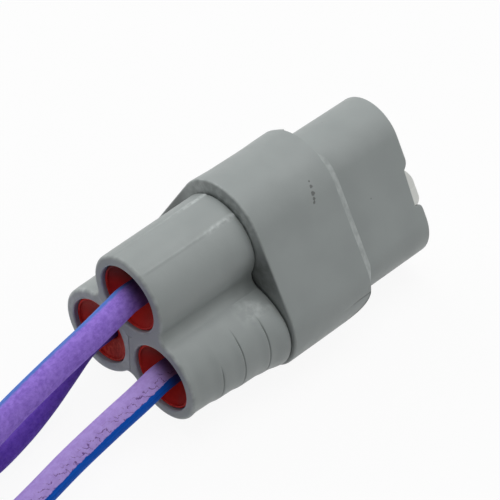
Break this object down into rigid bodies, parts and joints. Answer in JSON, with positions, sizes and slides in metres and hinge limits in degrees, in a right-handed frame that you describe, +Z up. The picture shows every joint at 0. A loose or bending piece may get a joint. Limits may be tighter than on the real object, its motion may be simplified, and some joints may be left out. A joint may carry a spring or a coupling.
{
  "type": "automotive connector plug",
  "caption": "Rounded-triangle sealed wire plug with a lobed rear cap, red seals, a white front lock and loose striped leads, for joining vehicle wiring to its mate.",
  "frame": {"origin": "middle of the plug's length and width, on the flat underside of the shroud", "axes": "+X is the mating direction, from the leads to the nose; +Z is up, towards lobe 1; lobe 2 is at -Y and lobe 3 at +Y"},
  "size_m": [0.1413, 0.027, 0.0254],
  "materials": {
    "grey_plastic": "satin moulded thermoplastic",
    "white_plastic": "satin moulded thermoplastic",
    "red_rubber": "smooth silicone rubber",
    "purple_insulation": "satin extruded insulation with a blue stripe",
    "contact_metal": "nickel-plated copper alloy",
    "sleeve_steel": "drawn stainless steel",
    "copper": "bare stranded copper"
  },
  "bodies": {
    "root": {"front_body": "grey_plastic", "rear_cap": "grey_plastic", "wedge_lock": "white_plastic", "interface_seal": "red_rubber", "wire_seal_1": "red_rubber", "wire_seal_2": "red_rubber", "wire_seal_3": "red_rubber", "socket_contact_1": "contact_metal", "socket_contact_2": "contact_metal", "socket_contact_3": "contact_metal", "contact_sleeve_1": "sleeve_steel", "contact_sleeve_2": "sleeve_steel", "contact_sleeve_3": "sleeve_steel", "conductor_1": "copper", "conductor_2": "copper", "conductor_3": "copper", "wire_1": "purple_insulation", "wire_2": "purple_insulation", "wire_3": "purple_insulation"}
  },
  "joints": []
}
